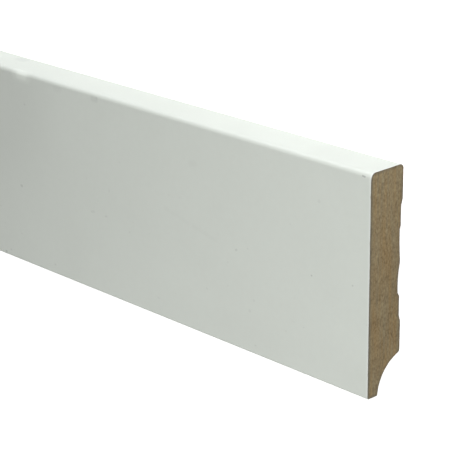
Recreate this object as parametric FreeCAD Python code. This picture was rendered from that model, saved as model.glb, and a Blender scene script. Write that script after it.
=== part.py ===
import FreeCAD, Part
import os

# A length of skirting board, moulded from one strip of MDF.
# It lies on its back with the painted face up: X runs along the board, Y from the bottom edge
# to the top edge, and Z from the back up to the face. The origin is under the board's middle.

# Overall size, in millimetres
length = 2400.0
height = 90.0
thickness = 18.0

# Roundings of the long edges
top_front_radius = 2.0
top_back_radius = 2.0
bottom_front_radius = 1.0

# Cove along the back of the bottom edge, with the lip that it leaves at the front
lip_thickness = 5.8
cove_height = 14.6
cove_bow = 3.1
lip_corner_radius = 0.6
cove_corner_radius = 1.5

# Two flat lands of the back that bear on the wall, the upper one with its edge's rounding
lower_land = 12.7
upper_land = 13.7

# Shallow relief between the lands, with a sloping shoulder and a level shelf beside each
relief_depth = 0.85
shoulder_run = 2.6
shelf_width = 7.8

# Two grooves between the shelves, either side of a narrow rib
rib_width = 1.4
groove_step_run = 1.4
lower_groove_depth = 0.85
lower_groove_bow = 0.5
upper_groove_depth = 0.45
upper_groove_bow = 0.2

# How far the cutters reach out of the board
overrun = 5.0


def place(rise, lift):
    """A point of the section, from its distance above the bottom edge and above the back."""
    return FreeCAD.Vector(-length / 2, rise - height / 2, lift)


def bowed(start, end, bow):
    """An arc that bows up, away from the back, from the straight line between its ends."""
    chord = end.sub(start)
    across = FreeCAD.Vector(0, -chord.z, chord.y).normalize()
    middle = start.add(end).multiply(0.5).add(across.multiply(bow))
    return Part.Arc(start, middle, end).toShape()


def lines(points):
    """Straight edges from point to point."""
    return [Part.makeLine(start, end) for start, end in zip(points, points[1:])]


def run_along(edges):
    """The solid that an outline sweeps along the whole length."""
    face = Part.Face(Part.Wire(edges))
    return face.extrude(FreeCAD.Vector(length, 0, 0))


def strip():
    """The sawn strip, before it is moulded."""
    corners = [place(0, 0), place(height, 0), place(height, thickness), place(0, thickness)]
    return run_along(lines(corners + corners[:1]))


def cove_cutter():
    """What the cutter takes from the back of the bottom edge."""
    lip_corner = place(0, thickness - lip_thickness)
    cove_corner = place(cove_height, 0)
    outside = [
        cove_corner,
        place(cove_height, -overrun),
        place(-overrun, -overrun),
        place(-overrun, thickness - lip_thickness),
        lip_corner,
    ]
    return run_along([bowed(lip_corner, cove_corner, cove_bow)] + lines(outside))


def relief_cutter():
    """What the cutters take from the back: the shallow relief and its two grooves."""
    relief_start = cove_height + lower_land
    relief_end = height - upper_land
    groove_start = relief_start + shoulder_run + shelf_width
    groove_end = relief_end - shoulder_run - shelf_width
    rib_start = (groove_start + groove_end - rib_width) / 2
    rib_end = rib_start + rib_width

    low_side = [
        place(relief_end, -overrun),
        place(relief_start, -overrun),
        place(relief_start, 0),
        place(relief_start + shoulder_run, relief_depth),
        place(groove_start, relief_depth),
        place(groove_start + groove_step_run, relief_depth + lower_groove_depth),
    ]
    rib = [place(rib_start, relief_depth), place(rib_end, relief_depth)]
    high_side = [
        place(groove_end - groove_step_run, relief_depth + upper_groove_depth),
        place(groove_end, relief_depth),
        place(relief_end - shoulder_run, relief_depth),
        place(relief_end, 0),
        place(relief_end, -overrun),
    ]
    edges = lines(low_side)
    edges.append(bowed(low_side[-1], rib[0], lower_groove_bow))
    edges.extend(lines(rib))
    edges.append(bowed(rib[1], high_side[0], upper_groove_bow))
    edges.extend(lines(high_side))
    return run_along(edges)


def round_edge(board, corner, radius):
    """Rounds the long edge that passes through a corner of the section."""
    beside = corner.add(FreeCAD.Vector(length / 2, 0, 0))
    edge = min(board.Edges, key=lambda edge: edge.CenterOfMass.distanceToPoint(beside))
    return board.makeFillet(radius, [edge])


def skirting_board():
    """The finished board: a strip with its cove and back relief, and its edges rounded."""
    board = strip().cut(cove_cutter()).cut(relief_cutter())
    board = round_edge(board, place(height, thickness), top_front_radius)
    board = round_edge(board, place(height, 0), top_back_radius)
    board = round_edge(board, place(0, thickness), bottom_front_radius)
    board = round_edge(board, place(0, thickness - lip_thickness), lip_corner_radius)
    return round_edge(board, place(cove_height, 0), cove_corner_radius)


os.makedirs("parts", exist_ok=True)
skirting_board().exportStep("parts/skirting_board.step")
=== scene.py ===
import math

import bpy
from mathutils import Matrix, Vector, noise


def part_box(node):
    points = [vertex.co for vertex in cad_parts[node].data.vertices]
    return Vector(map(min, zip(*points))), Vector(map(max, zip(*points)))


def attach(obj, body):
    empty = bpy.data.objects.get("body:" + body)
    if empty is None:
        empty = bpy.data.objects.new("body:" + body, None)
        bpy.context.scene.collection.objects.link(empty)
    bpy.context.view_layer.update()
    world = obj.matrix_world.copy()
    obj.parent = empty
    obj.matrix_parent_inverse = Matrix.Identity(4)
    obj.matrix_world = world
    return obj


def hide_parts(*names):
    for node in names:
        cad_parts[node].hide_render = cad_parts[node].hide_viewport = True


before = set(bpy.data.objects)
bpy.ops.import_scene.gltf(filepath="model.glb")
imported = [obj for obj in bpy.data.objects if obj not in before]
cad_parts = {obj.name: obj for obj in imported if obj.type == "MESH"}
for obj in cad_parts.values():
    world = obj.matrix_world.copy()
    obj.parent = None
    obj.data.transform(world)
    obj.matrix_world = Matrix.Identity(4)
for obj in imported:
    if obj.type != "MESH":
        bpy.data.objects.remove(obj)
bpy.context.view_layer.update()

# The board itself: one strip of MDF, moulded along its whole length and sawn square at both ends.
# The cutters leave a cove behind the lip of the bottom edge and, on the back, two flat lands that
# bear on the wall with a shallow relief between them, which two grooves either side of a rib deepen.
mm = 0.001
board_low, board_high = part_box("skirting_board")
length = board_high.x - board_low.x
height = board_high.y - board_low.y
thickness = board_high.z - board_low.z

top_front_radius = 2.0 * mm
top_back_radius = 2.0 * mm
bottom_front_radius = 1.0 * mm

lip_thickness = 5.8 * mm
cove_height = 14.6 * mm
cove_bow = 3.1 * mm
lip_corner_radius = 0.6 * mm
cove_corner_radius = 1.5 * mm

lower_land = 12.7 * mm
upper_land = 13.7 * mm
relief_depth = 0.85 * mm
shoulder_run = 2.6 * mm
shelf_width = 7.8 * mm

rib_width = 1.4 * mm
groove_step_run = 1.4 * mm
lower_groove_depth = 0.85 * mm
lower_groove_bow = 0.5 * mm
upper_groove_depth = 0.45 * mm
upper_groove_bow = 0.2 * mm


def arc(centre, radius, start, stop, steps):
    """Points (rise, lift) of the section round a centre, between two angles in degrees."""
    turns = [math.radians(start + (stop - start) * i / steps) for i in range(steps + 1)]
    return [(centre[0] + radius * math.cos(t), centre[1] + radius * math.sin(t)) for t in turns]


def turn_from(centre, point):
    """The angle in degrees at which a point stands from a centre."""
    return math.degrees(math.atan2(point[1] - centre[1], point[0] - centre[0]))


def circle_through(start, stop, bow):
    """Centre and radius of the arc that bows away from the back between two points."""
    chord = math.dist(start, stop)
    radius = (chord**2 / 4 + bow**2) / (2 * bow)
    across = ((start[1] - stop[1]) / chord, (stop[0] - start[0]) / chord)
    middle = ((start[0] + stop[0]) / 2, (start[1] + stop[1]) / 2)
    below = radius - bow
    return (middle[0] - across[0] * below, middle[1] - across[1] * below), radius


def bowed(start, stop, bow, steps):
    """Points along such an arc, its two ends included."""
    centre, radius = circle_through(start, stop, bow)
    return arc(centre, radius, turn_from(centre, start), turn_from(centre, stop), steps)


def cove_side():
    """The back of the lip, the cove and the corner where the lower land starts."""
    cove_centre, radius = circle_through((0.0, thickness - lip_thickness), (cove_height, 0.0), cove_bow)
    reach = radius + lip_corner_radius
    along = lip_corner_radius - cove_centre[0]
    lip_centre = (lip_corner_radius, cove_centre[1] + math.sqrt(reach**2 - along**2))
    reach = radius + cove_corner_radius
    along = cove_corner_radius - cove_centre[1]
    land_centre = (cove_centre[0] + math.sqrt(reach**2 - along**2), cove_corner_radius)
    lip_turn = turn_from(cove_centre, lip_centre)
    land_turn = turn_from(cove_centre, land_centre)
    return (
        arc(lip_centre, lip_corner_radius, 180, 180 + lip_turn, 5)
        + arc(cove_centre, radius, lip_turn, land_turn, 22)[1:]
        + arc(land_centre, cove_corner_radius, 180 + land_turn, 270, 5)[1:]
    )


def relief_side():
    """The relief of the back with its shoulders, shelves, grooves and rib."""
    relief_start = cove_height + lower_land
    relief_end = height - upper_land
    groove_start = relief_start + shoulder_run + shelf_width
    groove_end = relief_end - shoulder_run - shelf_width
    rib_start = (groove_start + groove_end - rib_width) / 2
    rib_end = rib_start + rib_width
    lower_foot = (groove_start + groove_step_run, relief_depth + lower_groove_depth)
    upper_foot = (groove_end - groove_step_run, relief_depth + upper_groove_depth)
    low_shelf = [(relief_start, 0.0)]
    low_shelf += [(relief_start + shoulder_run, relief_depth), (groove_start, relief_depth)]
    high_shelf = [(groove_end, relief_depth), (relief_end - shoulder_run, relief_depth)]
    high_shelf += [(relief_end, 0.0)]
    grooves = bowed(lower_foot, (rib_start, relief_depth), lower_groove_bow, 8)
    grooves += bowed((rib_end, relief_depth), upper_foot, upper_groove_bow, 8)
    return low_shelf + grooves + high_shelf


def back_side():
    """The section's back, from the bottom edge up."""
    centre = (height - top_back_radius, top_back_radius)
    return cove_side() + relief_side() + arc(centre, top_back_radius, 270, 360, 8)


def front_side():
    """The section's face with its two rounded edges, from the bottom edge up."""
    low_centre = (bottom_front_radius, thickness - bottom_front_radius)
    high_centre = (height - top_front_radius, thickness - top_front_radius)
    low_edge = arc(low_centre, bottom_front_radius, 180, 90, 6)
    return low_edge + arc(high_centre, top_front_radius, 90, 0, 12)


def lift_at(side, rise):
    """The lift of one side of the section at a rise."""
    for (r0, l0), (r1, l1) in zip(side, side[1:]):
        if r0 <= rise <= r1:
            return l0 + (l1 - l0) * (rise - r0) / (r1 - r0) if r1 > r0 else l0
    return side[-1][1]


# The section is cut into rows and columns. The first and last of them are narrow, so that the rim
# of a cut end can differ from its middle. A few more rows lie just below the top edge, where the
# front corner has taken a blow.
row_spacing = 1.5 * mm
least_row = 0.02 * mm
rim = 1.4 * mm
first_share = 0.12
inner_columns = 12
inner_shares = [first_share + (1 - 2 * first_share) * i / inner_columns for i in range(inner_columns + 1)]
shares = [0.0, rim / thickness] + inner_shares + [1.0 - rim / thickness, 1.0]
columns = len(shares) - 1
top_rows = [height - fall * mm for fall in (2.6, 3.3, 4.0, 4.8, 5.7)]


def rows_of(sides):
    """Rises at which the section is cut: each bend of its sides, and even steps between."""
    bends = [rise for side in sides for rise, _ in side] + [rim, height - rim] + top_rows
    rows = [0.0]
    for rise in sorted(bends):
        gap = rise - rows[-1]
        if gap < least_row:
            continue
        steps = max(1, round(gap / row_spacing))
        rows += [rise - gap * (steps - i) / steps for i in range(1, steps + 1)]
    rows[-1] = height
    return rows


back = back_side()
front = front_side()
rows = rows_of((back, front))
last_row = len(rows) - 1


def grid_point(row, column):
    """A point (rise, lift) of the section's grid, whose columns run from the back to the face."""
    rise = rows[row]
    share = shares[column]
    return rise, lift_at(back, rise) * (1 - share) + lift_at(front, rise) * share


# The outline runs along the bottom edge to the face, up the face, back over the top edge and down
# the back. Each of its points is a cell (row, column) of the grid.
outline = [(0, c) for c in range(columns + 1)]
outline += [(r, columns) for r in range(1, last_row + 1)]
outline += [(last_row, c) for c in range(columns - 1, -1, -1)]
outline += [(r, 0) for r in range(last_row - 1, 0, -1)]
around = len(outline)
outer = [grid_point(*cell) for cell in outline]

paint_film = 0.2 * mm
top_film = 0.08 * mm
feather_columns = 2
feather_reach = 1.5 * mm


def paint_at(index):
    """The thickness of the paint at a point of the outline: nothing on the back and in the cove."""
    row, column = outline[index]
    if row == 0:
        return paint_film * min(1.0, column / feather_columns)
    if column == 0:
        past = (height - rows[row]) / feather_reach
        return top_film * max(0.0, 1.0 - past)
    share = min(1.0, (height - rows[row]) / top_front_radius)
    return top_film + (paint_film - top_film) * share


def set_back(index):
    """The point of the MDF under a point of the outline, set back by the thickness of the paint."""
    before, after = outer[index - 1], outer[(index + 1) % around]
    run = (after[0] - before[0], after[1] - before[1])
    depth = paint_at(index) / math.hypot(*run)
    return outer[index][0] + run[1] * depth, outer[index][1] - run[0] * depth


inner = [set_back(index) for index in range(around)]

# Stations along the board, where the outline is repeated: every 30 mm, every 5 mm near the right
# end, which is seen close up, and closer still at the sawn ends and where a blow has flattened the
# front corner. At the right end that corner is also worn. The near end has a finer chart in the map.
near_end = 250 * mm
hair = 0.01 * mm
near_spacing = 5 * mm
near_stations = 60
far_spacing = 30 * mm
far_stations = 69
end_steps = [s * mm for s in (0.0, 0.25, 0.6, 1.2, 1.8, 2.5)]
least_gap = 0.1 * mm

blow_place = length / 2 - 205.5 * mm
blow_reach = 6.5 * mm
blow_height = 6.5 * mm
blow_depth = 0.7 * mm
blow_steps = 8
worn_length = 2.2 * mm
worn_height = 4.5 * mm
worn_depth = 0.6 * mm

# Which way the corner gives, as shares of the depth down the face and in from it
blow_down, blow_in = 0.8, 0.6
worn_down, worn_in = 0.3, 0.8


def stations_along():
    """The stations from the left end to the right."""
    half = length / 2
    places = [half - s for s in end_steps] + [s - half for s in end_steps]
    places += [half - s * near_spacing for s in range(1, near_stations + 1)]
    places += [s * far_spacing - half for s in range(1, far_stations + 1)]
    places += [blow_place + blow_reach * i / blow_steps for i in range(-blow_steps, blow_steps + 1)]
    places.sort()
    return [p for i, p in enumerate(places) if i == 0 or p - places[i - 1] > least_gap]


stations = stations_along()


def at(x, rise, lift):
    """A point in the row frame, pushed in where the top front corner is flattened or worn round."""
    from_corner = math.hypot(height - rise, thickness - lift)
    across = min(1.0, abs(x - blow_place) / blow_reach)
    push = blow_depth * (1 - across**2) ** 2 * (1 - min(1.0, from_corner / blow_height)) ** 4
    from_end = min(1.0, (length / 2 - x) / worn_length)
    wear = worn_depth * (1 - from_end) ** 2 * (1 - min(1.0, from_corner / worn_height)) ** 2
    rise -= push * blow_down + wear * worn_down
    lift -= push * blow_in + wear * worn_in
    return Vector((x, rise - height / 2, lift))


def end_side(x):
    """Which cut end a station lies on: -1 for the left, 1 for the right, 0 for neither."""
    on_end = abs(x) > length / 2 - hair
    return math.copysign(1, x) if on_end else 0


saw_ripple = 0.03 * mm
torn_depth = 0.12 * mm
fray_depth = 0.16 * mm
fray_reach = 1.0 * mm


def sawn(side, rise, lift):
    """How far the saw and the torn fibres leave the cut end behind its plane."""
    place = Vector((side * 7, rise / mm, lift / mm))
    ripple = 0.5 + 0.5 * noise.noise(place * 0.9)
    torn = max(0.0, noise.noise(place * Vector((1, 0.6, 2.2))) - 0.25)
    return saw_ripple * ripple + torn_depth * torn


def frayed(x, index):
    """How far the saw has torn the bare edge of the back out of line, close to a cut end."""
    from_end = length / 2 - abs(x)
    if paint_at(index) > 0 or from_end > fray_reach:
        return 0.0
    rise, lift = outer[index]
    place = Vector((math.copysign(5, x), rise / mm * 0.9, lift / mm * 0.9))
    return fray_depth * (0.5 + 0.5 * noise.noise(place)) * (1 - from_end / fray_reach)


def board_point(x, index):
    """A point of the MDF's surface at a station."""
    rise, lift = inner[index]
    before, after = outer[index - 1], outer[(index + 1) % around]
    run = (after[0] - before[0], after[1] - before[1])
    depth = frayed(x, index) / math.hypot(*run)
    rise, lift = rise + run[1] * depth, lift - run[0] * depth
    side = end_side(x)
    if side:
        x -= side * sawn(side, rise, lift)
    return at(x, rise, lift)


def charted(chart, across, up):
    """A place in a piece's map, from shares of the width and height of one of its charts."""
    left, bottom, right, top = chart
    return left + (right - left) * across, bottom + (top - bottom) * up


def swept(count, point_at, alongs, charts):
    """Points, faces and map of a closed outline that is repeated at each station."""
    points = [point_at(x, i) for x in stations for i in range(count)]
    faces = []
    maps = []
    split = length / 2 - near_end
    for s, (x0, x1) in enumerate(zip(stations, stations[1:])):
        near = x0 > split - hair
        start, run = (split, near_end) if near else (-length / 2, length - near_end)
        left, right = (x0 - start) / run, (x1 - start) / run
        for i in range(count):
            j = (i + 1) % count
            a, b = s * count, (s + 1) * count
            faces.append((a + i, b + i, b + j, a + j))
            corners = ((left, alongs[i]), (right, alongs[i]), (right, alongs[i + 1]), (left, alongs[i + 1]))
            maps.append([charted(charts[near], u, v) for u, v in corners])
    return points, faces, maps


def distances(ring, closed):
    """How far each point of an outline lies along it, as a share of the whole."""
    steps = [math.dist(a, b) for a, b in zip(ring, ring[1:] + ring[:1])]
    total = [0.0]
    for step in steps if closed else steps[:-1]:
        total.append(total[-1] + step)
    return [t / total[-1] for t in total]


sharp_from = math.radians(30)


def new_piece(name, points, faces, maps=()):
    """A mesh object from its points and faces, smooth where its faces meet at a small angle."""
    mesh = bpy.data.meshes.new(name)
    mesh.from_pydata(points, [], faces)
    if maps:
        layer = mesh.uv_layers.new(name="OFBake")
        for loop, place in zip(layer.data, (place for corners in maps for place in corners)):
            loop.uv = place
    piece = bpy.data.objects.new(name, mesh)
    bpy.context.scene.collection.objects.link(piece)
    mesh.shade_smooth()
    mesh.set_sharp_from_angle(angle=sharp_from)
    return piece


other_rims = 0.65


def rim_at(row, column):
    """How much a cell of a cut end is darkened: most along the face, less along the other sides."""
    across = lift_at(front, rows[row]) - lift_at(back, rows[row])
    from_face = across * (1 - shares[column])
    from_others = min(across * shares[column], rows[row], height - rows[row])
    return max(0.0, 1 - from_face / rim, other_rims * (1 - from_others / rim))


def board_mesh():
    """The MDF from end to end, with both cut ends closed by the section's grid."""
    long_charts = ((0.01, 0.01, 0.99, 0.33), (0.01, 0.36, 0.45, 0.99))
    end_charts = ((0.48, 0.52, 0.99, 0.66), (0.48, 0.36, 0.99, 0.5))
    points, faces, maps = swept(around, board_point, distances(inner, closed=True), long_charts)
    ring = {cell: i for i, cell in enumerate(outline)}
    rims = [rim_at(*cell) for cell in outline] * len(stations)
    for start, side, chart in ((0, -1, end_charts[0]), (len(points) - around, 1, end_charts[1])):
        index = {cell: start + i for cell, i in ring.items()}
        place = {}
        for row in range(last_row + 1):
            low, high = inner[ring[row, 0]], inner[ring[row, columns]]
            for column, share in enumerate(shares):
                rise = low[0] * (1 - share) + high[0] * share
                lift = low[1] * (1 - share) + high[1] * share
                if (row, column) in ring:
                    rise, lift = inner[ring[row, column]]
                else:
                    index[row, column] = len(points)
                    points.append(at(side * (length / 2 - sawn(side, rise, lift)), rise, lift))
                    rims.append(rim_at(row, column))
                place[row, column] = charted(chart, rise / height, lift / thickness)
        for row in range(last_row):
            for column in range(columns):
                cell = [(row, column), (row + 1, column), (row + 1, column + 1), (row, column + 1)]
                faces.append(tuple(index[c] for c in cell[::side]))
                maps.append([place[c] for c in cell[::side]])
    return points, faces, maps, rims


*board_parts, rims = board_mesh()
board = new_piece("mdf_board", *board_parts)
board.data.attributes.new("rim", "FLOAT", "POINT").data.foreach_set("value", rims)
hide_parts("skirting_board")
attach(board, "root")


def set_input(tree, socket, value):
    """Gives an input a value, or joins it to the output that carries one."""
    if isinstance(value, bpy.types.NodeSocket):
        tree.links.new(value, socket)
    else:
        socket.default_value = value


def maths(tree, operation, first, second=0.0, clamp=False):
    """The result of one sum on two numbers."""
    made = tree.nodes.new("ShaderNodeMath")
    made.operation = operation
    made.use_clamp = clamp
    set_input(tree, made.inputs[0], first)
    set_input(tree, made.inputs[1], second)
    return made.outputs[0]


def vector_maths(tree, operation, first, second, result="Vector"):
    """The result of one sum on two vectors."""
    made = tree.nodes.new("ShaderNodeVectorMath")
    made.operation = operation
    set_input(tree, made.inputs[0], first)
    set_input(tree, made.inputs["Scale" if operation == "SCALE" else 1], second)
    return made.outputs[result]


def noise_at(tree, vector, scale, detail=2.0, roughness=0.5):
    """Noise from 0 to 1 at a number of cells in each unit of the coordinates."""
    made = tree.nodes.new("ShaderNodeTexNoise")
    set_input(tree, made.inputs["Vector"], vector)
    for name, value in (("Scale", scale), ("Detail", detail), ("Roughness", roughness)):
        made.inputs[name].default_value = value
    return made.outputs["Fac"]


def ranged(tree, value, low, high, to_low=0.0, to_high=1.0, smooth=False):
    """A value carried from one range to another, and held inside it."""
    made = tree.nodes.new("ShaderNodeMapRange")
    if smooth:
        made.interpolation_type = "SMOOTHSTEP"
    names = ("Value", "From Min", "From Max", "To Min", "To Max")
    for name, given in zip(names, (value, low, high, to_low, to_high)):
        set_input(tree, made.inputs[name], given)
    return made.outputs["Result"]


def mixed(tree, share, first, second):
    """A colour between two colours."""
    made = tree.nodes.new("ShaderNodeMix")
    made.data_type = "RGBA"
    first_input, second_input, output = 6, 7, 2
    for index, value in ((0, share), (first_input, first), (second_input, second)):
        set_input(tree, made.inputs[index], value)
    return made.outputs[output]


def new_group(name, inputs, outputs):
    """A shader node group with named sockets, its tree, and where its inputs and outputs join."""
    tree = bpy.data.node_groups.new(name, "ShaderNodeTree")
    kinds = {"value": "NodeSocketFloat", "vector": "NodeSocketVector", "colour": "NodeSocketColor"}
    for label, kind in inputs:
        tree.interface.new_socket(label, in_out="INPUT", socket_type=kinds[kind])
    for label, kind in outputs:
        tree.interface.new_socket(label, in_out="OUTPUT", socket_type=kinds[kind])
    return tree, tree.nodes.new("NodeGroupInput").outputs, tree.nodes.new("NodeGroupOutput").inputs


def grouped(tree, group, **values):
    """A use of a node group in a tree, with the values of its inputs."""
    made = tree.nodes.new("ShaderNodeGroup")
    made.node_tree = group
    for name, value in values.items():
        set_input(tree, made.inputs[name.replace("_", " ").capitalize()], value)
    return made.outputs


bundle_brown = (0.13, 0.088, 0.045, 1.0)


def fibre_group():
    """Pressed wood fibre: fine mottle, soft patches and darker bundles, for every bare surface."""
    inputs = [("Vector", "vector"), ("Contrast", "value"), ("Bundles", "value")]
    inputs += [("Pale", "colour"), ("Dark", "colour")]
    outputs = [("Color", "colour"), ("Height", "value")]
    tree, given, result = new_group("pressed_fibre", inputs, outputs)
    fine = noise_at(tree, given["Vector"], 1.0, 3.0, 0.6)
    patches = noise_at(tree, given["Vector"], 0.2, 2.0, 0.55)
    both = maths(tree, "ADD", maths(tree, "MULTIPLY", fine, 0.7), maths(tree, "MULTIPLY", patches, 0.3))
    share = maths(tree, "MULTIPLY", maths(tree, "SUBTRACT", both, 0.5), given["Contrast"])
    share = maths(tree, "ADD", share, 0.5, clamp=True)
    tone = mixed(tree, share, given["Dark"], given["Pale"])
    strands = vector_maths(tree, "MULTIPLY", given["Vector"], (0.6, 0.35, 1.3))
    bundle = ranged(tree, noise_at(tree, strands, 0.9, 1.0, 0.4), 0.52, 0.75)
    bundle = maths(tree, "MULTIPLY", bundle, given["Bundles"])
    tone = mixed(tree, bundle, tone, bundle_brown)
    tree.links.new(tone, result["Color"])
    tree.links.new(maths(tree, "SUBTRACT", fine, maths(tree, "MULTIPLY", bundle, 0.3)), result["Height"])
    return tree


pressed_fibre = fibre_group()


def millimetres(tree):
    """Object coordinates in millimetres."""
    coordinates = tree.nodes.new("ShaderNodeTexCoord")
    return vector_maths(tree, "SCALE", coordinates.outputs["Object"], 1 / mm)


def new_material(name):
    """An empty node material and its tree."""
    material = bpy.data.materials.new(name)
    material.use_nodes = True
    material.node_tree.nodes.clear()
    return material, material.node_tree


def finish_surface(tree, colour, roughness, height, depth, specular=0.5):
    """The material's surface, from its colour, its roughness and its height over a depth in metres."""
    shader = tree.nodes.new("ShaderNodeBsdfPrincipled")
    tree.links.new(colour, shader.inputs["Base Color"])
    tree.links.new(roughness, shader.inputs["Roughness"])
    shader.inputs["Specular IOR Level"].default_value = specular
    bump = tree.nodes.new("ShaderNodeBump")
    bump.inputs["Distance"].default_value = depth
    tree.links.new(height, bump.inputs["Height"])
    tree.links.new(bump.outputs["Normal"], shader.inputs["Normal"])
    output = tree.nodes.new("ShaderNodeOutputMaterial")
    tree.links.new(shader.outputs["BSDF"], output.inputs["Surface"])


warm_layer = (1.04, 0.98, 0.89, 1.0)
cool_layer = (0.94, 1.01, 1.1, 1.0)
# Painted light: the cut end is painted lighter and cooler towards its top, where more light falls.
lower_painted_light = (1.0, 1.0, 1.0, 1.0)
upper_painted_light = (1.08, 1.1, 1.13, 1.0)
# The colour that the rim of each cut end is darkened towards.
rim_darkening = (0.17, 0.16, 0.125, 1.0)


def sawn_mdf():
    """The cut ends: open fibre in layers along the face, with the fine lines that the saw leaves, painted
    lighter towards the top and darker along the rim.
    """
    material, tree = new_material("sawn_mdf")
    place = millimetres(tree)
    fibre = grouped(
        tree,
        pressed_fibre,
        vector=vector_maths(tree, "MULTIPLY", place, (1.0, 0.8, 1.2)),
        contrast=3.0,
        bundles=0.4,
        pale=(0.413, 0.32, 0.176, 1.0),
        dark=(0.227, 0.164, 0.087, 1.0),
    )
    edge = tree.nodes.new("ShaderNodeAttribute")
    edge.attribute_name = "rim"
    layers = noise_at(tree, vector_maths(tree, "MULTIPLY", place, (1.0, 0.04, 0.7)), 0.8, 2.0)
    tint = mixed(tree, ranged(tree, layers, 0.35, 0.65), warm_layer, cool_layer)
    # Painted light: lighter and cooler up the end, from its middle to near the top edge.
    up_the_end = vector_maths(tree, "DOT_PRODUCT", place, (0.0, 1.0, 0.0), "Value")
    painted_light_gradient = mixed(tree, ranged(tree, up_the_end, 5.0, 40.0), lower_painted_light, upper_painted_light)
    tone = vector_maths(tree, "MULTIPLY", fibre["Color"], vector_maths(tree, "MULTIPLY", tint, painted_light_gradient))
    # Darker along the rim of each cut end.
    tone = mixed(tree, edge.outputs["Fac"], tone, rim_darkening)
    saw = noise_at(tree, vector_maths(tree, "MULTIPLY", place, (1.0, 0.12, 1.1)), 1.6, 1.0)
    relief = maths(tree, "ADD", fibre["Height"], maths(tree, "MULTIPLY", saw, 0.5))
    roughness = ranged(tree, fibre["Height"], 0.2, 0.8, 0.95, 0.82)
    finish_surface(tree, tone, roughness, relief, depth=0.12 * mm, specular=0.25)
    return material


streak_brown = (0.23, 0.165, 0.09, 1.0)


def planed_mdf():
    """The back and the cove: smoother fibre, with the long streaks of the planer's cutters."""
    material, tree = new_material("planed_mdf")
    place = millimetres(tree)
    fibre = grouped(
        tree,
        pressed_fibre,
        vector=vector_maths(tree, "MULTIPLY", place, (0.5, 0.8, 0.8)),
        contrast=1.6,
        bundles=0.3,
        pale=(0.42, 0.33, 0.195, 1.0),
        dark=(0.28, 0.205, 0.115, 1.0),
    )
    streaks = noise_at(tree, vector_maths(tree, "MULTIPLY", place, (0.012, 1.0, 1.0)), 1.1, 3.0, 0.6)
    tone = mixed(tree, ranged(tree, streaks, 0.3, 0.7, 0.0, 0.3), fibre["Color"], streak_brown)
    relief = maths(tree, "ADD", fibre["Height"], streaks)
    roughness = ranged(tree, streaks, 0.2, 0.8, 0.7, 0.85)
    finish_surface(tree, tone, roughness, relief, depth=0.05 * mm, specular=0.3)
    return material


board.data.materials.append(planed_mdf())
board.data.materials.append(sawn_mdf())
for face in board.data.polygons:
    faces_the_saw = abs(face.normal.x) > 0.7
    face.material_index = 1 if faces_the_saw else 0


# The paint: the factory's satin white, sprayed on the bottom edge, the face and the top edge as one
# film that feathers out on the rounding behind. The saw has cut it at both ends, where it shows as a
# thin white line with a few small chips, and a painted highlight lightens it along each cut.
painted = [i for i in range(around) if paint_at(i) > 0]
covered = list(range(painted[0] - 1, painted[-1] + 2))
film = [outer[i] for i in covered] + [inner[i] for i in covered[-2:0:-1]]
ragged_depth = 0.07 * mm
chip_depth = 0.3 * mm
chip_least = 0.35


def chipped(side, rise, lift):
    """How far the saw has broken the paint back from the cut end."""
    place = Vector((side * 11, rise / mm, lift / mm))
    chip = max(0.0, noise.noise(place * 0.45) - chip_least)
    return ragged_depth * abs(noise.noise(place * 1.7)) + chip_depth * chip


def film_point(x, index):
    """A point of the film's surface at a station."""
    rise, lift = film[index]
    side = end_side(x)
    if side:
        x -= side * chipped(side, rise, lift)
    return at(x, rise, lift)


def paint_mesh():
    """The film from end to end, as thick as the board is set back under it."""
    far_chart, near_chart = (0.01, 0.72, 0.99, 0.99), (0.01, 0.08, 0.99, 0.7)
    end_charts = ((0.01, 0.01, 0.99, 0.03), (0.01, 0.04, 0.99, 0.06))
    count = len(film)
    outside_share = 0.85
    seen = distances(film[: len(covered)], closed=False)
    alongs = [outside_share * s for s in seen]
    alongs += [outside_share + (1 - outside_share) * (1 - s) for s in seen[-2::-1]]
    points, faces, maps = swept(count, film_point, alongs, (far_chart, near_chart))
    for start, side, chart in ((0, -1, end_charts[0]), (len(points) - count, 1, end_charts[1])):
        for i in range(len(covered) - 1):
            ends = [(i, 0), ((count - i) % count, 1), (count - i - 1, 1), (i + 1, 0)]
            corners = [(start + k, charted(chart, seen[i + (n > 1)], v)) for n, (k, v) in enumerate(ends)]
            corners = [c for n, c in enumerate(corners) if c[0] != corners[n - 1][0]]
            faces.append(tuple(c[0] for c in corners[::side]))
            maps.append([c[1] for c in corners[::side]])
    return points, faces, maps


paint = new_piece("white_paint", *paint_mesh())
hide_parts("skirting_board")
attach(paint, "root")


def mark_group():
    """A mask that is 1 on a short line between two places and fades out at a distance from it."""
    inputs = [("Vector", "vector"), ("Start", "vector"), ("Stop", "vector"), ("Reach", "value")]
    tree, given, result = new_group("mark", inputs, [("Mask", "value")])
    off = vector_maths(tree, "SUBTRACT", given["Vector"], given["Start"])
    line = vector_maths(tree, "SUBTRACT", given["Stop"], given["Start"])
    along = vector_maths(tree, "DOT_PRODUCT", off, line, "Value")
    whole = vector_maths(tree, "DOT_PRODUCT", line, line, "Value")
    share = maths(tree, "DIVIDE", along, whole, clamp=True)
    nearest = vector_maths(tree, "SCALE", line, share)
    away = vector_maths(tree, "SUBTRACT", off, nearest)
    distance = vector_maths(tree, "LENGTH", away, (0.0, 0.0, 0.0), "Value")
    core = maths(tree, "MULTIPLY", given["Reach"], 0.3)
    tree.links.new(ranged(tree, distance, core, given["Reach"], 1.0, 0.0, smooth=True), result["Mask"])
    return tree


mark = mark_group()

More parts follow.
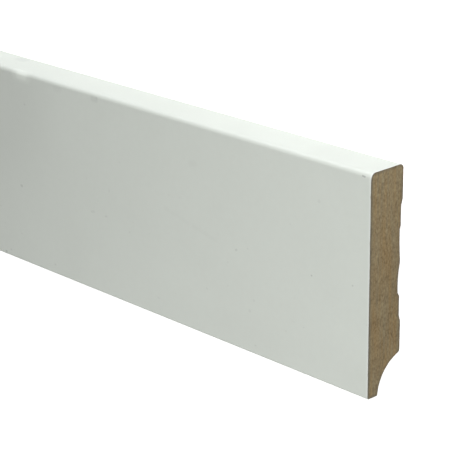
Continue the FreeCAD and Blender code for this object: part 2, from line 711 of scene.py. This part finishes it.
# Marks that the face has picked up in handling: where each starts and stops (millimetres from the
# right end and above the bottom edge), how far it reaches around that line, and how dark it is.
face_marks = (
    (209.4, 36.5, 208.9, 36.4, 0.95, 0.2),
    (160.3, 36.2, 158.6, 36.6, 0.8, 0.09),
    (151.1, 36.3, 150.3, 36.4, 0.6, 0.11),
    (70.9, 42.0, 70.5, 42.2, 0.7, 0.16),
    (64.4, 44.3, 64.1, 44.4, 0.45, 0.1),
    (29.5, 42.5, 29.3, 42.5, 0.55, 0.27),
    (8.3, 44.2, 8.1, 44.3, 0.5, 0.2),
    (33.6, 19.9, 33.3, 19.9, 0.45, 0.1),
    (96.7, 72.2, 94.2, 72.7, 2.0, 0.03),
    (112.4, 49.3, 98.7, 46.4, 1.3, 0.022),
    (95.7, 45.8, 82.6, 43.0, 1.3, 0.022),
    (157.0, 87.2, 155.0, 87.2, 2.0, 0.1),
    (154.5, 88.0, 154.2, 87.9, 0.7, 0.07),
    (182.2, 86.6, 179.4, 86.8, 2.2, 0.04),
    (204.4, 75.2, 204.0, 75.2, 0.7, 0.12),
    (187.4, 4.6, 187.0, 4.6, 0.7, 0.13),
    (60.3, 4.2, 59.9, 4.2, 0.5, 0.12),
    (4.0, 88.3, 2.9, 88.2, 0.5, 0.42),
    (223.5, 1.5, 222.9, 1.5, 0.8, 0.3),
    (219.6, 3.3, 219.2, 3.3, 0.7, 0.13),
)

# Grey for dirt, dust and handling marks, and for painted shade.
dirt_and_painted_shade = (0.16, 0.16, 0.15, 1.0)
# A bluish grey for the darker patch on the top edge.
blue_grey = (0.16, 0.2, 0.22, 1.0)
# White of the painted highlight on the flattened corner.
corner_highlight_white = (0.9, 0.95, 0.87, 1.0)
# White of the painted highlight along the cut ends of the paint.
cut_edge_highlight_white = (0.88, 0.9, 0.86, 1.0)
shaded_white = (0.728, 0.768, 0.704, 1.0)
clean_white = (0.748, 0.79, 0.725, 1.0)

# Broader ones, each with its colour: the flattened corner, with a painted highlight on it; a bluish
# grey patch on the top edge beside it; and painted shade, a faint greying of the top edge and of the
# face along its bottom, towards the right end. A place that isn't on the face is given with its lift
# above the back.
soft_marks = (
    # The flattened corner, with a painted highlight
    ((209.5, 88.3), (202.0, 88.2), 4.4, 0.3, corner_highlight_white),
    ((207.5, 88.3), (204.0, 88.2), 3.0, 0.5, corner_highlight_white),
    # A darker bluish grey patch on the top edge
    ((223.0, 90.0, 5.0), (219.5, 90.0, 5.5), 3.2, 0.1, blue_grey),
    # Painted shade: the top edge darker near the right end
    ((0.0, 90.0, 4.5), (26.0, 90.0, 4.5), 17.0, 0.05, dirt_and_painted_shade),
    # Painted shade: the face darker along its bottom near the right end
    ((0.0, 0.0), (110.0, 0.0), 22.0, 0.028, dirt_and_painted_shade),
)

# Painted shade: a wide greying of the face alone, darker towards its top, beyond the flattened corner as
# seen from the right end
face_shade_line = ((235.0, 90.0), (235.0, 80.0))
face_shade_reach = 65.0
face_shade_strength = 0.075


def on_board(distance, rise, lift=thickness / mm):
    """A place in millimetres, from its distance from the right end, its rise and its lift."""
    return length / mm / 2 - distance, rise - height / mm / 2, lift


def all_marks():
    """Start, stop, reach, strength and colour of every mark, in the order in which they came."""
    marks = [((x0, rise0), (x1, rise1), reach, strength, dirt_and_painted_shade)
             for x0, rise0, x1, rise1, reach, strength in face_marks]
    return marks + list(soft_marks)


def mask_of(tree, place, start, stop, reach):
    """The mask of a mark on the board."""
    start, stop = on_board(*start), on_board(*stop)
    return grouped(tree, mark, vector=place, start=start, stop=stop, reach=reach)["Mask"]


def satin_paint():
    """Satin white with a faint orange peel, a slight cloudiness, dust specks, handling marks, painted shade
    and painted highlights.
    """
    material, tree = new_material("satin_white_paint")
    place = millimetres(tree)
    cloud = noise_at(tree, place, 0.03, 2.0)
    grain = noise_at(tree, place, 0.35, 2.0)
    share = maths(tree, "ADD", maths(tree, "MULTIPLY", cloud, 0.6), maths(tree, "MULTIPLY", grain, 0.4))
    share = ranged(tree, share, 0.35, 0.65)
    tone = mixed(tree, share, shaded_white, clean_white)
    dust = noise_at(tree, vector_maths(tree, "ADD", place, (7.0, 3.0, 0.0)), 0.4, 0.0)
    dust = ranged(tree, dust, 0.82, 0.87, 0.0, 0.07)
    tone = mixed(tree, dust, tone, dirt_and_painted_shade)
    lift = vector_maths(tree, "DOT_PRODUCT", place, (0.0, 0.0, 1.0), "Value")
    # Painted shade: the face darker towards its top, beyond the flattened corner.
    on_face = ranged(tree, lift, 17.0, 17.9, 0.0, face_shade_strength)
    face_shade = mask_of(tree, place, *face_shade_line, face_shade_reach)
    tone = mixed(tree, maths(tree, "MULTIPLY", face_shade, on_face), tone, dirt_and_painted_shade)
    # The marks: dirt, painted shade and a painted highlight.
    for start, stop, reach, strength, mark_colour in all_marks():
        mask = mask_of(tree, place, start, stop, reach)
        tone = mixed(tree, maths(tree, "MULTIPLY", mask, strength), tone, mark_colour)
    # Painted highlight: the paint lighter over the last 0.8 mm before each cut end.
    along = maths(tree, "ABSOLUTE", vector_maths(tree, "DOT_PRODUCT", place, (1.0, 0.0, 0.0), "Value"))
    cut_edge_highlight = ranged(tree, along, length / mm / 2 - 0.8, length / mm / 2 - 0.3, 0.0, 0.6)
    tone = mixed(tree, cut_edge_highlight, tone, cut_edge_highlight_white)
    peel = maths(tree, "MULTIPLY", noise_at(tree, place, 0.22, 1.0), 1.5)
    peel = maths(tree, "ADD", peel, noise_at(tree, place, 0.9, 1.0))
    roughness = ranged(tree, grain, 0.3, 0.7, 0.42, 0.5)
    finish_surface(tree, tone, roughness, peel, depth=0.012 * mm)
    return material


paint.data.materials.append(satin_paint())


# The floor that the board lies on: plain, pale and matt. It is white to the camera where nothing
# shades it, and keeps the board's shadow.
floor_white = (0.85, 0.85, 0.85, 1.0)
camera_glow = 0.85
reflected_glow = 0.6


def pale_floor():
    """Matt white, with a glow for the camera alone and a weaker one in reflections."""
    material, tree = new_material("pale_floor")
    matt = tree.nodes.new("ShaderNodeBsdfDiffuse")
    matt.inputs["Color"].default_value = floor_white
    path = tree.nodes.new("ShaderNodeLightPath")
    reflected = maths(tree, "MAXIMUM", path.outputs["Is Glossy Ray"], path.outputs["Is Transmission Ray"])
    reflected = maths(tree, "MULTIPLY", reflected, reflected_glow)
    seen = maths(tree, "MULTIPLY", path.outputs["Is Camera Ray"], camera_glow)
    glow = tree.nodes.new("ShaderNodeEmission")
    tree.links.new(maths(tree, "MAXIMUM", seen, reflected), glow.inputs["Strength"])
    both = tree.nodes.new("ShaderNodeAddShader")
    tree.links.new(matt.outputs["BSDF"], both.inputs[0])
    tree.links.new(glow.outputs["Emission"], both.inputs[1])
    output = tree.nodes.new("ShaderNodeOutputMaterial")
    tree.links.new(both.outputs["Shader"], output.inputs["Surface"])
    return material


floor_reach = 30.0
corners = [(-1, -1), (1, -1), (1, 1), (-1, 1)]
floor = new_piece("floor", [(x * floor_reach, y * floor_reach, 0.0) for x, y in corners], [(0, 1, 2, 3)])
floor.data.materials.append(pale_floor())

# The camera stands above the right end and looks down on the face, with the board's top edge
# uppermost in the picture.
camera_place = Vector((1.6271, 0.2541, 0.4953))
camera_aim = Vector((1.1230, 0.0060, 0.0180))
camera_roll = math.radians(0.638)
sensor_width = 36.0
focal_length = 148.62

lens = bpy.data.cameras.new("camera")
lens.sensor_width = sensor_width
lens.lens = focal_length
camera = bpy.data.objects.new("camera", lens)
bpy.context.scene.collection.objects.link(camera)
backward = (camera_place - camera_aim).normalized()
upward = Vector((0, 1, 0)) - backward * backward.y
upward = Matrix.Rotation(-camera_roll, 3, backward) @ upward.normalized()
turned = Matrix((upward.cross(backward), upward, backward)).transposed()
camera.matrix_world = Matrix.Translation(camera_place) @ turned.to_4x4()
bpy.context.scene.camera = camera


# The studio light: a long low softbox that faces the top edge, small ones near the right end, one
# over the rest of the board, and a plain white surround.
def softbox(name, place, aim, width, depth, power, spread=180.0, colour=(1.0, 1.0, 1.0)):
    """A rectangular lamp that faces a point and that the camera doesn't see."""
    light = bpy.data.lights.new(name, "AREA")
    light.shape = "RECTANGLE"
    light.size = width
    light.size_y = depth
    light.energy = power
    light.spread = math.radians(spread)
    light.color = colour
    lamp = bpy.data.objects.new(name, light)
    lamp.location = place
    lamp.rotation_euler = (Vector(aim) - Vector(place)).to_track_quat("-Z", "Y").to_euler()
    lamp.visible_camera = False
    bpy.context.scene.collection.objects.link(lamp)


cool = (0.985, 0.985, 1.025)
softbox("top_edge_softbox", (0.4, 2.4, 0.35), (0.4, 0.0, 0.0), 3.0, 0.6, 42.3, colour=cool)
softbox("right_end_softbox", (1.5, 0.3, 0.5), (1.2, 0.0, 0.0), 0.3, 0.3, 2.39)
softbox("low_front_softbox", (1.15, -0.3, 0.2), (1.1, 0.0, 0.0), 0.2, 0.2, 0.384)
softbox("overhead_softbox", (-0.35, -0.1, 0.6), (-0.35, 0.0, 0.0), 1.9, 0.5, 1.2, spread=70.0)

world = bpy.data.worlds.new("studio")
world.use_nodes = True
surround = 0.135
tree = world.node_tree
path = tree.nodes.new("ShaderNodeLightPath")
seen = maths(tree, "MAXIMUM", path.outputs["Is Camera Ray"], path.outputs["Is Glossy Ray"])
seen = maths(tree, "MAXIMUM", seen, path.outputs["Is Transmission Ray"])
sky = tree.nodes["Background"]
sky.inputs["Color"].default_value = (1.0, 1.0, 1.0, 1.0)
tree.links.new(ranged(tree, seen, 0.0, 1.0, surround, 1.0), sky.inputs["Strength"])
bpy.context.scene.world = world

bpy.context.scene.view_settings.view_transform = "Standard"
